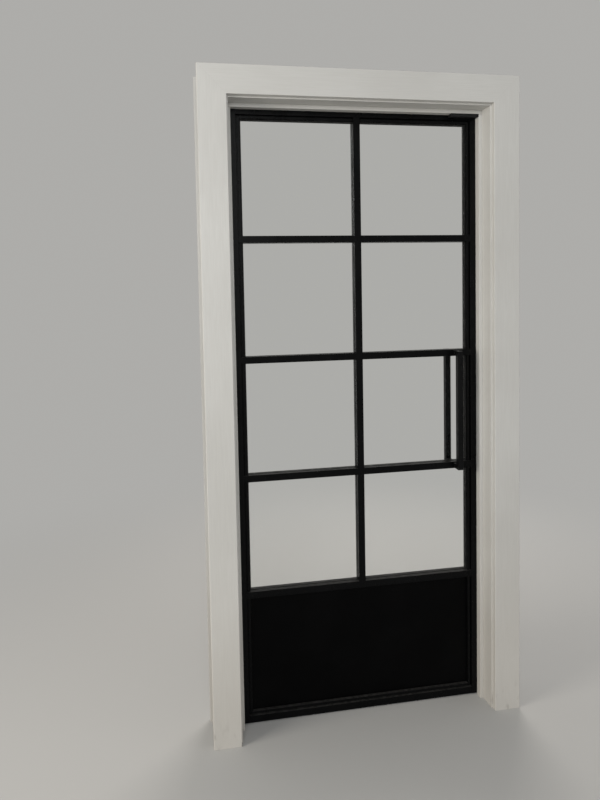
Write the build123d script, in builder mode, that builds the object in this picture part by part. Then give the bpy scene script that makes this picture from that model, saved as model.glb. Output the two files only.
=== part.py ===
"""Glazed door leaf hung in its painted timber frame, closed, seen from the side it opens away from.

The origin is on the floor in the middle of the doorway, halfway through the whole depth.
X runs to the right, Y runs away from the viewer and Z runs up.
"""

from build123d import *
import os

os.makedirs("parts", exist_ok=True)

# Doorway
opening_width = 875.0
opening_height = 2075.5
side_gap = 3.0
top_gap = 3.0
bottom_gap = 4.5

# Jambs and stops
jamb_thickness = 20.0
jamb_front_reach = 82.0
housing_depth = 6.0
stop_projection = 12.5
stop_depth = 25.0
stop_gap = 1.0
stop_chamfer = 1.0

# Casings
casing_width = 91.0
casing_thickness = 18.0
casing_reveal = 5.0
casing_rear_reveal = 8.0
casing_round = 2.0
casing_land = 12.0
casing_relief = 2.0

# Sections of the leaf
leaf_thickness = 38.0
stile_face = 29.0
rail_face = 25.0
lip_width = 13.0
tube_wall = 2.0
arris_round = 1.0
kick_rail_top = 461.0
kick_rail_height = 23.0
web_height = 8.0
bar_width = 23.0
bar_tongue = 4.0
mullion_web = 9.0

# Glazing and kick panel
glass_thickness = 6.0
glass_front = 16.0
glass_edge_gap = 4.5
mullion_edge_gap = 2.0
gasket_tape = 1.0
gasket_nose = 3.5
gasket_nose_depth = 3.0
bead_groove = 4.5
bead_setback = 4.0
bead_foot = 5.0
bead_chamfer = 1.2
block_height = 2.5
block_length = 60.0
block_inset = 70.0
panel_edge_gap = 2.5
panel_cover = 6.0

# Pull handles
handle_backset = 86.5
grip_size = 19.0
grip_round = 0.8
arm_length = 22.0
arm_width = 18.0
arm_height = 16.0
bolt_radius = 3.0
bolt_depth = 18.0
bolt_fit = 0.05
glass_hole_clearance = 3.0
set_screw_radius = 2.5
set_screw_fit = 0.05
set_screw_standoff = 11.0

# Hinges
hinge_end_distance = 228.0
hinge_height = 100.0
hinge_plate_width = 32.0
hinge_plate = 2.0
hinge_plate_gap = 1.0
knuckle_count = 3
knuckle_radius = 6.5
knuckle_gap = 0.3
knuckle_standoff = 1.0
pin_radius = 3.5
pin_fit = 0.05
pin_overrun = 1.5

# Magnetic catch and its strike plate
catch_length = 100.0
catch_height = 10.0
catch_depth = 24.0
catch_chamfer = 1.0
catch_gap = 0.3
strike_thickness = 2.0
strike_height = 9.0
strike_length = 70.0

# Planes of the depth, with the whole depth centred on the origin
front_reach = jamb_front_reach + casing_thickness
rear_reach = leaf_thickness + arm_length + grip_size
leaf_front = (front_reach - rear_reach) / 2
leaf_rear = leaf_front + leaf_thickness
jamb_front = leaf_front - jamb_front_reach
jamb_depth = leaf_rear - jamb_front
glass_near = leaf_front + glass_front
glass_far = glass_near + glass_thickness
rebate_near = glass_near - gasket_tape
rebate_far = glass_far + gasket_tape
rebate_depth = rebate_far - rebate_near
bead_back = glass_front - gasket_tape

# Lines of the doorway
jamb_face = opening_width / 2
jamb_top = opening_height + jamb_thickness
stop_back = leaf_front - stop_gap
stop_face = jamb_face - stop_projection
stop_underside = opening_height - stop_projection

# Lines of the leaf, from its edges inwards
leaf_half = jamb_face - side_gap
leaf_top = opening_height - top_gap
rebate_half = leaf_half - stile_face
rebate_top = leaf_top - rail_face
rebate_bottom = bottom_gap + rail_face
lip_half = rebate_half - lip_width
lip_top = rebate_top - lip_width
lip_bottom = rebate_bottom + lip_width
sight_half = lip_half - gasket_nose
sight_top = lip_top - gasket_nose
kick_rail_bottom = kick_rail_top - kick_rail_height
web_top = (kick_rail_top + kick_rail_bottom + web_height) / 2
web_bottom = web_top - web_height
bar_half = bar_width / 2
web_half = mullion_web / 2

# Panes, between the mullion's web and the rebates, and the four equal lights over their height
glass_outer = rebate_half - glass_edge_gap
glass_inner = web_half + mullion_edge_gap
glass_top = rebate_top - glass_edge_gap
glass_bottom = web_top + block_height
light_height = (sight_top - kick_rail_top - 3 * bar_width) / 4
bar_pitch = light_height + bar_width
bar_levels = {
    "bottom": kick_rail_top + bar_pitch - bar_half,
    "middle": kick_rail_top + 2 * bar_pitch - bar_half,
    "top": kick_rail_top + 3 * bar_pitch - bar_half,
}

# Handle: its arms stand on the bottom and middle bars and end flush with the grip
handle_centre = leaf_half - handle_backset
arm_levels = {name: bar_levels[name] for name in ("bottom", "middle")}
arm_places = [(handle_centre, level) for level in arm_levels.values()]
grip_length = arm_levels["middle"] - arm_levels["bottom"] + arm_height
grip_bottom = arm_levels["bottom"] - arm_height / 2
set_screw_length = arm_width / 2 - bolt_radius - bolt_fit

# Hinges: near both ends of the leaf and halfway, the pin behind the leaf over the gap beside it
hinge_levels = {
    "bottom": bottom_gap + hinge_end_distance,
    "middle": (bottom_gap + leaf_top) / 2,
    "top": leaf_top - hinge_end_distance,
}
hinge_x = -leaf_half - hinge_plate - hinge_plate_gap / 2
hinge_y = leaf_rear + knuckle_radius + knuckle_standoff
plate_middle = leaf_rear - hinge_plate_width / 2
knuckle_pitch = hinge_height / knuckle_count

# Catch: under the head stop, in the corner beside the right stop
strike_front = leaf_front - strike_thickness
catch_back = strike_front - catch_gap
catch_bottom = stop_underside - catch_height
catch_middle = stop_face - catch_length / 2
catch_centre = catch_back - catch_depth / 2
strike_level = stop_underside - catch_height / 2

# Section of a glazing bead: distance in from the rebate's wall, and distance back from the leaf's face
bead_outline = [
    (0, bead_back - bead_foot),
    (bead_groove, bead_back - bead_foot),
    (bead_groove, bead_setback),
    (lip_width - bead_chamfer, bead_setback),
    (lip_width, bead_setback + bead_chamfer),
    (lip_width, bead_back),
    (0, bead_back),
]


# Upright glazing bead on one side of the leaf, mitred where it meets a level one
def side_bead(side, low, high, low_mitred, high_mitred):
    with BuildPart() as bead:
        with BuildSketch(Plane.XY.offset(low)):
            with BuildLine():
                Polyline([(side * (rebate_half - u), leaf_front + v) for u, v in bead_outline], close=True)
            make_face()
        extrude(amount=high - low)
        if low_mitred:
            split(bisect_by=Plane(origin=(side * rebate_half, 0, low), z_dir=(side, 0, 1)))
        if high_mitred:
            split(bisect_by=Plane(origin=(side * rebate_half, 0, high), z_dir=(side, 0, -1)))
    return bead


# Level glazing bead on a rebate wall, its inner side up or down, mitred where it meets a side bead
def level_bead(wall, inward, left, right, left_mitred, right_mitred):
    with BuildPart() as bead:
        with BuildSketch(Plane.YZ.offset(left)):
            with BuildLine():
                Polyline([(leaf_front + v, wall + inward * u) for u, v in bead_outline], close=True)
            make_face()
        extrude(amount=right - left)
        if left_mitred:
            split(bisect_by=Plane(origin=(left, 0, wall), z_dir=(1, 0, -inward)))
        if right_mitred:
            split(bisect_by=Plane(origin=(right, 0, wall), z_dir=(-1, 0, -inward)))
    return bead


# Flat casing board, rounded along the long edges of its face, its back relieved between two bearing strips
def casing_board(corners, relief_corners, back, outward, grain):
    with BuildPart() as board:
        with BuildSketch(Plane.XZ.offset(-back)):
            with BuildLine():
                Polyline(corners, close=True)
            make_face()
        extrude(amount=-outward * casing_thickness)
        fillet(board.edges().filter_by(grain).sort_by(Axis.Y, reverse=outward > 0)[:2], casing_round)
        with BuildSketch(Plane.XZ.offset(-back)):
            with BuildLine():
                Polyline(relief_corners, close=True)
            make_face()
        extrude(amount=-outward * casing_relief, mode=Mode.SUBTRACT)
    return board


# Outline of a casing leg, or of the strip left when its inner and outer edges move in by the same inset
def leg_outline(side, inner, low, inset):
    near = inner + inset
    far = inner + casing_width - inset
    return [(side * near, 0), (side * far, 0), (side * far, low + far - inner), (side * near, low + near - inner)]


# Outline of a casing head, or of the strip left when its lower and upper edges move in by the same inset
def head_outline(inner, low, inset):
    near = inner + inset
    far = inner + casing_width - inset
    return [(-near, low + inset), (near, low + inset), (far, low + far - inner), (-far, low + far - inner)]


# One half of a butt hinge: a plate that carries every second knuckle
def hinge_half(level, plate_back, plate_face, first_knuckle):
    with BuildPart() as half:
        with BuildSketch(Plane.YZ.offset(plate_back)):
            with Locations((plate_middle, level)):
                Rectangle(hinge_plate_width, hinge_height)
        extrude(amount=plate_face - plate_back)
        for index in range(first_knuckle, knuckle_count, 2):
            start = level - hinge_height / 2 + index * knuckle_pitch + knuckle_gap / 2
            with BuildSketch(Plane.XY.offset(start)):
                with Locations(((plate_back + plate_face) / 2, (leaf_rear + hinge_y) / 2)):
                    Rectangle(hinge_plate, hinge_y - leaf_rear)
                with Locations((hinge_x, hinge_y)):
                    Circle(knuckle_radius)
                    Circle(pin_radius + pin_fit, mode=Mode.SUBTRACT)
            extrude(amount=knuckle_pitch - knuckle_gap)
    return half


# Side jambs, grooved for the head, the left one let in for the hinge plates
for side_name, side in (("left", -1), ("right", 1)):
    with BuildPart() as jamb:
        with BuildSketch():
            with Locations((side * (jamb_face + jamb_thickness / 2), jamb_front + jamb_depth / 2)):
                Rectangle(jamb_thickness, jamb_depth)
        extrude(amount=jamb_top)
        with BuildSketch(Plane.XY.offset(opening_height)):
            with Locations((side * (jamb_face + housing_depth / 2), jamb_front + jamb_depth / 2)):
                Rectangle(housing_depth, jamb_depth)
        extrude(amount=jamb_thickness, mode=Mode.SUBTRACT)
        if side_name == "left":
            with BuildSketch(Plane.YZ.offset(-jamb_face)):
                with Locations([(plate_middle, level) for level in hinge_levels.values()]):
                    Rectangle(hinge_plate_width, hinge_height)
            extrude(amount=-hinge_plate, mode=Mode.SUBTRACT)
    jamb.part.label = f"jamb_{side_name}"
    export_step(jamb.part, f"parts/{jamb.part.label}.step")

# Head jamb, let into the grooves of the side jambs
with BuildPart() as jamb_head:
    with BuildSketch(Plane.XY.offset(opening_height)):
        with Locations((0, jamb_front + jamb_depth / 2)):
            Rectangle(opening_width + 2 * housing_depth, jamb_depth)
    extrude(amount=jamb_thickness)
jamb_head.part.label = "jamb_head"
export_step(jamb_head.part, "parts/jamb_head.step")

# Side stops, up to the head stop
for side_name, side in (("left", -1), ("right", 1)):
    with BuildPart() as stop:
        with BuildSketch() as stop_plan:
            with Locations((side * (jamb_face + stop_face) / 2, stop_back - stop_depth / 2)):
                Rectangle(stop_projection, stop_depth)
            free_corner = min(stop_plan.vertices().group_by(Axis.Y)[0], key=lambda corner: abs(corner.X))
            chamfer(free_corner, stop_chamfer)
        extrude(amount=stop_underside)
    stop.part.label = f"stop_{side_name}"
    export_step(stop.part, f"parts/{stop.part.label}.step")

# Head stop, between the side jambs
with BuildPart() as stop_head:
    with BuildSketch(Plane.YZ.offset(-jamb_face)) as stop_section:
        with Locations((stop_back - stop_depth / 2, (opening_height + stop_underside) / 2)):
            Rectangle(stop_depth, stop_projection)
        chamfer(stop_section.vertices().group_by(Axis.X)[0].sort_by(Axis.Y)[0], stop_chamfer)
    extrude(amount=opening_width)
stop_head.part.label = "stop_head"
export_step(stop_head.part, "parts/stop_head.step")

# Mitred casings on the front and the rear of the jambs
for place, back, outward, reveal in (
    ("front", jamb_front, -1, casing_reveal),
    ("rear", leaf_rear, 1, casing_rear_reveal),
):
    inner = jamb_face + reveal
    low = opening_height + reveal
    for side_name, side in (("left", -1), ("right", 1)):
        leg_corners, leg_relief = (leg_outline(side, inner, low, inset) for inset in (0, casing_land))
        leg = casing_board(leg_corners, leg_relief, back, outward, Axis.Z)
        leg.part.label = f"casing_{place}_{side_name}"
        export_step(leg.part, f"parts/{leg.part.label}.step")
    head_corners, head_relief = (head_outline(inner, low, inset) for inset in (0, casing_land))
    head = casing_board(head_corners, head_relief, back, outward, Axis.X)
    head.part.label = f"casing_{place}_head"
    export_step(head.part, f"parts/{head.part.label}.step")

# Stiles: hollow sections with a glazing lip at the rear
for side_name, side in (("left", -1), ("right", 1)):
    with BuildPart() as stile:
        with BuildSketch(Plane.XY.offset(bottom_gap)) as stile_section:
            with BuildLine():
                Polyline([
                    (side * leaf_half, leaf_front),
                    (side * rebate_half, leaf_front),
                    (side * rebate_half, rebate_far),
                    (side * lip_half, rebate_far),
                    (side * lip_half, leaf_rear),
                    (side * leaf_half, leaf_rear),
                ], close=True)
            make_face()
            face_corners = stile_section.vertices().group_by(Axis.Y)
            fillet(face_corners[0] + face_corners[-1], arris_round)
            offset(amount=-tube_wall, mode=Mode.SUBTRACT)
        extrude(amount=leaf_top - bottom_gap)
    stile.part.label = f"stile_{side_name}"
    export_step(stile.part, f"parts/{stile.part.label}.step")

# Top and bottom rails: the same hollow section, coped over the stiles' lips
for rail_name, outer_edge, rebate_wall, lip_edge in (
    ("top", leaf_top, rebate_top, lip_top),
    ("bottom", bottom_gap, rebate_bottom, lip_bottom),
):
    with BuildPart() as rail:
        with BuildSketch(Plane.YZ.offset(-rebate_half)) as rail_section:
            with BuildLine():
                Polyline([
                    (leaf_front, outer_edge),
                    (leaf_front, rebate_wall),
                    (rebate_far, rebate_wall),
                    (rebate_far, lip_edge),
                    (leaf_rear, lip_edge),
                    (leaf_rear, outer_edge),
                ], close=True)
            make_face()
            face_corners = rail_section.vertices().group_by(Axis.X)
            fillet(face_corners[0] + face_corners[-1], arris_round)
            offset(amount=-tube_wall, mode=Mode.SUBTRACT)
        extrude(amount=2 * rebate_half)
        with BuildSketch(Plane.XY.offset(bottom_gap)):
            for side in (-1, 1):
                with Locations((side * (rebate_half + lip_half) / 2, (rebate_far + leaf_rear) / 2)):
                    Rectangle(lip_width, leaf_rear - rebate_far)
        extrude(amount=leaf_top - bottom_gap, mode=Mode.SUBTRACT)
    rail.part.label = f"rail_{rail_name}"
    export_step(rail.part, f"parts/{rail.part.label}.step")

# Kick rail: a rear flange between the stiles' lips, with a web that parts the panes from the panel
with BuildPart() as rail_kick:
    with BuildSketch(Plane.XY.offset(kick_rail_bottom)):
        with Locations((0, (rebate_far + leaf_rear) / 2)):
            Rectangle(2 * lip_half, leaf_rear - rebate_far)
    extrude(amount=kick_rail_height)
    with BuildSketch(Plane.XY.offset(web_bottom)):
        with Locations((0, (rebate_near + rebate_far) / 2)):
            Rectangle(2 * rebate_half, rebate_depth)
    extrude(amount=web_height)
rail_kick.part.label = "rail_kick"
export_step(rail_kick.part, "parts/rail_kick.step")

# Cap of the kick rail, flush with the leaf's face, from stile to stile
with BuildPart() as rail_kick_cap:
    with BuildSketch(Plane.YZ.offset(-rebate_half)) as cap_section:
        with Locations((leaf_front + bead_back / 2, (kick_rail_top + kick_rail_bottom) / 2)):
            Rectangle(bead_back, kick_rail_height)
        fillet(cap_section.vertices().group_by(Axis.X)[0], arris_round)
    extrude(amount=2 * rebate_half)
rail_kick_cap.part.label = "rail_kick_cap"
export_step(rail_kick_cap.part, "parts/rail_kick_cap.step")

# Mullion: a rear flange from the kick rail to the top rail's lip, with a web between the panes
with BuildPart() as mullion:
    with BuildSketch(Plane.XY.offset(kick_rail_top)) as flange_section:
        with Locations((0, (rebate_far + leaf_rear) / 2)):
            Rectangle(bar_width, leaf_rear - rebate_far)
        fillet(flange_section.vertices().group_by(Axis.Y)[-1], arris_round)
    extrude(amount=lip_top - kick_rail_top)
    with BuildSketch(Plane.XY.offset(web_top)):
        with Locations((0, (rebate_near + rebate_far) / 2)):
            Rectangle(mullion_web, rebate_depth)
    extrude(amount=rebate_top - web_top)
mullion.part.label = "mullion"
export_step(mullion.part, "parts/mullion.step")

# Cap of the mullion, flush with the leaf's face
with BuildPart() as mullion_cap:
    with BuildSketch(Plane.XY.offset(kick_rail_top)) as cap_section:
        with Locations((0, leaf_front + bead_back / 2)):
            Rectangle(bar_width, bead_back)
        fillet(cap_section.vertices().group_by(Axis.Y)[0], arris_round)
    extrude(amount=rebate_top - kick_rail_top)
mullion_cap.part.label = "mullion_cap"
export_step(mullion_cap.part, "parts/mullion_cap.step")

# Glazing beads at the sides, beside the panes and beside the kick panel
for side_name, side in (("left", -1), ("right", 1)):
    bead = side_bead(side, kick_rail_top, rebate_top, False, True)
    bead.part.label = f"bead_{side_name}"
    export_step(bead.part, f"parts/{bead.part.label}.step")
    bead = side_bead(side, rebate_bottom, kick_rail_bottom, True, False)
    bead.part.label = f"panel_bead_{side_name}"
    export_step(bead.part, f"parts/{bead.part.label}.step")

# Glazing beads over the panes and under the kick panel
bead_top_left = level_bead(rebate_top, -1, -rebate_half, -bar_half, True, False)
bead_top_left.part.label = "bead_top_left"
export_step(bead_top_left.part, "parts/bead_top_left.step")
bead_top_right = level_bead(rebate_top, -1, bar_half, rebate_half, False, True)
bead_top_right.part.label = "bead_top_right"
export_step(bead_top_right.part, "parts/bead_top_right.step")
panel_bead_bottom = level_bead(rebate_bottom, 1, -rebate_half, rebate_half, True, True)
panel_bead_bottom.part.label = "panel_bead_bottom"
export_step(panel_bead_bottom.part, "parts/panel_bead_bottom.step")

# Glazing bars bedded on both sides of the glass, with thin tongues over the beads or between the lips
for place, outside, inside, bar_end in (
    ("front", leaf_front, glass_near, rebate_half),
    ("rear", leaf_rear, glass_far, lip_half),
):
    tongue_back = outside + (bar_tongue if inside > outside else -bar_tongue)
    for level_name, level in bar_levels.items():
        with BuildPart() as bars:
            with BuildSketch(Plane.XY.offset(level - bar_half)):
                for side in (-1, 1):
                    with BuildLine():
                        Polyline([
                            (side * bar_half, outside),
                            (side * bar_end, outside),
                            (side * bar_end, tongue_back),
                            (side * sight_half, tongue_back),
                            (side * sight_half, inside),
                            (side * bar_half, inside),
                        ], close=True)
                    make_face()
            extrude(amount=bar_width)
            face_side = 0 if outside < inside else -1
            fillet(bars.edges().filter_by(Axis.X).group_by(Axis.Y)[face_side], arris_round)
            if level_name in arm_levels:
                with BuildSketch(Plane.XZ.offset(-leaf_front)):
                    with Locations((handle_centre, arm_levels[level_name])):
                        Circle(bolt_radius + bolt_fit)
                extrude(amount=-leaf_thickness, mode=Mode.SUBTRACT)
        bars.part.label = f"bars_{place}_{level_name}"
        export_step(bars.part, f"parts/{bars.part.label}.step")

# Panes, the right one drilled clear of the handle bolts
for side_name, side in (("left", -1), ("right", 1)):
    with BuildPart() as glass:
        with BuildSketch(Plane.XZ.offset(-glass_near)):
            with Locations((side * (glass_inner + glass_outer) / 2, (glass_bottom + glass_top) / 2)):
                Rectangle(glass_outer - glass_inner, glass_top - glass_bottom)
            if side_name == "right":
                with Locations(arm_places):
                    Circle(bolt_radius + glass_hole_clearance, mode=Mode.SUBTRACT)
        extrude(amount=-glass_thickness)
    glass.part.label = f"glass_{side_name}"
    export_step(glass.part, f"parts/{glass.part.label}.step")

# Gaskets: a tape round each pane's edge, and a nose that shows beside the outer bead and the top bead
for place, glass_face, facing in (("front", glass_near, -1), ("rear", glass_far, 1)):
    with BuildPart() as gaskets:
        for side in (-1, 1):
            with BuildSketch(Plane.XZ.offset(-glass_face)):
                with Locations((side * (glass_inner + glass_outer) / 2, (glass_bottom + glass_top) / 2)):
                    Rectangle(glass_outer - glass_inner, glass_top - glass_bottom)
                with Locations((side * (bar_half + sight_half) / 2, (kick_rail_top + sight_top) / 2)):
                    Rectangle(sight_half - bar_half, sight_top - kick_rail_top, mode=Mode.SUBTRACT)
            extrude(amount=-facing * gasket_tape)
            with BuildSketch(Plane.XZ.offset(-glass_face)):
                with BuildLine():
                    Polyline([
                        (side * bar_half, sight_top),
                        (side * sight_half, sight_top),
                        (side * sight_half, kick_rail_top),
                        (side * lip_half, kick_rail_top),
                        (side * lip_half, lip_top),
                        (side * bar_half, lip_top),
                    ], close=True)
                make_face()
            extrude(amount=-facing * gasket_nose_depth)
    gaskets.part.label = f"gaskets_{place}"
    export_step(gaskets.part, f"parts/{gaskets.part.label}.step")

# Setting blocks under the panes
with BuildPart() as setting_blocks:
    with BuildSketch(Plane.XY.offset(web_top)):
        for side in (-1, 1):
            for block_x in (glass_inner + block_inset, glass_outer - block_inset):
                with Locations((side * block_x, (glass_near + glass_far) / 2)):
                    Rectangle(block_length, glass_thickness)
    extrude(amount=block_height)
setting_blocks.part.label = "setting_blocks"
export_step(setting_blocks.part, "parts/setting_blocks.step")

# Kick panel, standing in the bottom rebate
with BuildPart() as kick_panel:
    panel_top = kick_rail_bottom + panel_cover
    with BuildSketch(Plane.XZ.offset(-rebate_near)):
        with Locations((0, (rebate_bottom + panel_top) / 2)):
            Rectangle(2 * (rebate_half - panel_edge_gap), panel_top - rebate_bottom)
    extrude(amount=-rebate_depth)
kick_panel.part.label = "kick_panel"
export_step(kick_panel.part, "parts/kick_panel.step")

# Pull handles back to back: a square grip and two arms on each side of the leaf
for place, leaf_side, away in (("front", leaf_front, -1), ("rear", leaf_rear, 1)):
    arm_end = leaf_side + away * arm_length
    with BuildPart() as grip:
        with BuildSketch(Plane.XY.offset(grip_bottom)):
            with Locations((handle_centre, arm_end + away * grip_size / 2)):
                Rectangle(grip_size, grip_size)
        extrude(amount=grip_length)
        fillet(grip.edges().filter_by(Axis.Z), grip_round)
    grip.part.label = f"handle_grip_{place}"
    export_step(grip.part, f"parts/{grip.part.label}.step")

    with BuildPart() as arms:
        with BuildSketch(Plane.XZ.offset(-leaf_side)):
            with Locations(arm_places):
                Rectangle(arm_width, arm_height)
        extrude(amount=-away * arm_length)
        with BuildSketch(Plane.XZ.offset(-leaf_side)):
            with Locations(arm_places):
                Circle(bolt_radius + bolt_fit)
        extrude(amount=-away * bolt_depth, mode=Mode.SUBTRACT)
        with BuildSketch(Plane.YZ.offset(handle_centre - arm_width / 2)):
            with Locations([(leaf_side + away * set_screw_standoff, level) for level in arm_levels.values()]):
                Circle(set_screw_radius + set_screw_fit)
        extrude(amount=set_screw_length, mode=Mode.SUBTRACT)
    arms.part.label = f"handle_arms_{place}"
    export_step(arms.part, f"parts/{arms.part.label}.step")

# Through bolts of the handles
with BuildPart() as handle_bolts:
    with BuildSketch(Plane.XZ.offset(bolt_depth - leaf_front)):
        with Locations(arm_places):
            Circle(bolt_radius)
    extrude(amount=-leaf_thickness - 2 * bolt_depth)
handle_bolts.part.label = "handle_bolts"
export_step(handle_bolts.part, "parts/handle_bolts.step")

# Set screws in the arms' sides, each against its bolt
with BuildPart() as handle_set_screws:
    with BuildSketch(Plane.YZ.offset(handle_centre - arm_width / 2)):
        for leaf_side, away in ((leaf_front, -1), (leaf_rear, 1)):
            with Locations([(leaf_side + away * set_screw_standoff, level) for level in arm_levels.values()]):
                Circle(set_screw_radius)
    extrude(amount=set_screw_length)
handle_set_screws.part.label = "handle_set_screws"
export_step(handle_set_screws.part, "parts/handle_set_screws.step")

# Three butt hinges: the half let into the jamb, the half on the stile's edge, and the pin
for level_name, level in hinge_levels.items():
    frame_half = hinge_half(level, -jamb_face - hinge_plate, -jamb_face, 0)
    frame_half.part.label = f"hinge_frame_leaf_{level_name}"
    export_step(frame_half.part, f"parts/{frame_half.part.label}.step")
    door_half = hinge_half(level, -leaf_half, -leaf_half - hinge_plate, 1)
    door_half.part.label = f"hinge_door_leaf_{level_name}"
    export_step(door_half.part, f"parts/{door_half.part.label}.step")

    with BuildPart() as pin:
        with BuildSketch(Plane.XY.offset(level - hinge_height / 2 - pin_overrun)):
            with Locations((hinge_x, hinge_y)):
                Circle(pin_radius)
        extrude(amount=hinge_height + 2 * pin_overrun)
    pin.part.label = f"hinge_pin_{level_name}"
    export_step(pin.part, f"parts/{pin.part.label}.step")

# Body of the magnetic catch
with BuildPart() as catch_body:
    with BuildSketch(Plane.XY.offset(catch_bottom)):
        with Locations((catch_middle, catch_centre)):
            Rectangle(catch_length, catch_depth)
    extrude(amount=catch_height)
    chamfer(catch_body.faces().sort_by(Axis.Z)[0].edges(), catch_chamfer)
catch_body.part.label = "catch_body"
export_step(catch_body.part, "parts/catch_body.step")

# Strike plate on the face of the top rail, opposite the catch
with BuildPart() as strike_plate:
    with BuildSketch(Plane.XZ.offset(-leaf_front)):
        with Locations((catch_middle, strike_level)):
            Rectangle(strike_length, strike_height)
    extrude(amount=strike_thickness)
strike_plate.part.label = "strike_plate"
export_step(strike_plate.part, "parts/strike_plate.step")
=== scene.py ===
"""Looks of a black glazed door in its white timber frame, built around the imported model.

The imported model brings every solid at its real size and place. This script dresses those solids,
eases their sharp arrises, adds the small screws, sockets, countersinks and magnet plates that they
leave out, and sets up a plain studio with a camera in front of the door.
"""

import logging
from dataclasses import dataclass
from enum import Enum
from math import radians

import bmesh
import bpy
from mathutils import Euler, Matrix, Vector


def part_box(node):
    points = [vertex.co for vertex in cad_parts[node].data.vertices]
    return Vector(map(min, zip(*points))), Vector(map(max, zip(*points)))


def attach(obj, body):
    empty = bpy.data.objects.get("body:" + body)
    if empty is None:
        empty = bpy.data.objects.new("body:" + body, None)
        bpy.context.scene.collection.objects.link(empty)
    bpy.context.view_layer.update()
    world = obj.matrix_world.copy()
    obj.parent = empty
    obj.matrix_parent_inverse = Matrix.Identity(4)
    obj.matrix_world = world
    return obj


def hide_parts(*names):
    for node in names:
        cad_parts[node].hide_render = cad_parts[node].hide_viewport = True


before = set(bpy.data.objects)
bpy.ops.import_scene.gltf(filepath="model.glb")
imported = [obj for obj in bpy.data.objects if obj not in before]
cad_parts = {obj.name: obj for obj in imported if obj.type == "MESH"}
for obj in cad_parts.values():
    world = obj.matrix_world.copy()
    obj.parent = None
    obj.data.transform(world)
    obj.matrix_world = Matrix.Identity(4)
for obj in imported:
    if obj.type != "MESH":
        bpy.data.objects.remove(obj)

log = logging.getLogger("glazed_door")

Colour = tuple[float, float, float]
Place = tuple[float, float, float]
Span = tuple[float, float]
Socket = bpy.types.NodeSocket

MILLIMETRE = 0.001
LEVELS = ("bottom", "middle", "top")

# Edges that bend more than these are sharp: on a solid of the model, and on a drilled copy of one
SHARP_ANGLE = radians(40.0)
DRILLED_SHARP_ANGLE = radians(50.0)

# Faces that bend less than this are one flat face
FLAT_ANGLE = radians(1.0)

# Corners closer together than these are one corner: on a solid, on its copy and on a turned pin
SOLID_MERGE = 0.005 * MILLIMETRE
COPY_MERGE = 0.001 * MILLIMETRE
PIN_MERGE = 0.01 * MILLIMETRE

# Values of a noise between which its patches blend: softly, and over nearly all of its swing
SOFT_BAND: Span = (0.35, 0.65)
WIDE_BAND: Span = (0.3, 0.7)


class Body(Enum):
    """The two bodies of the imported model."""

    FRAME = "frame"
    LEAF = "leaf"


class Grain(Enum):
    """Direction that a timber board and its brush strokes run in."""

    UPRIGHT = "upright"
    LEVEL = "level"


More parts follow.
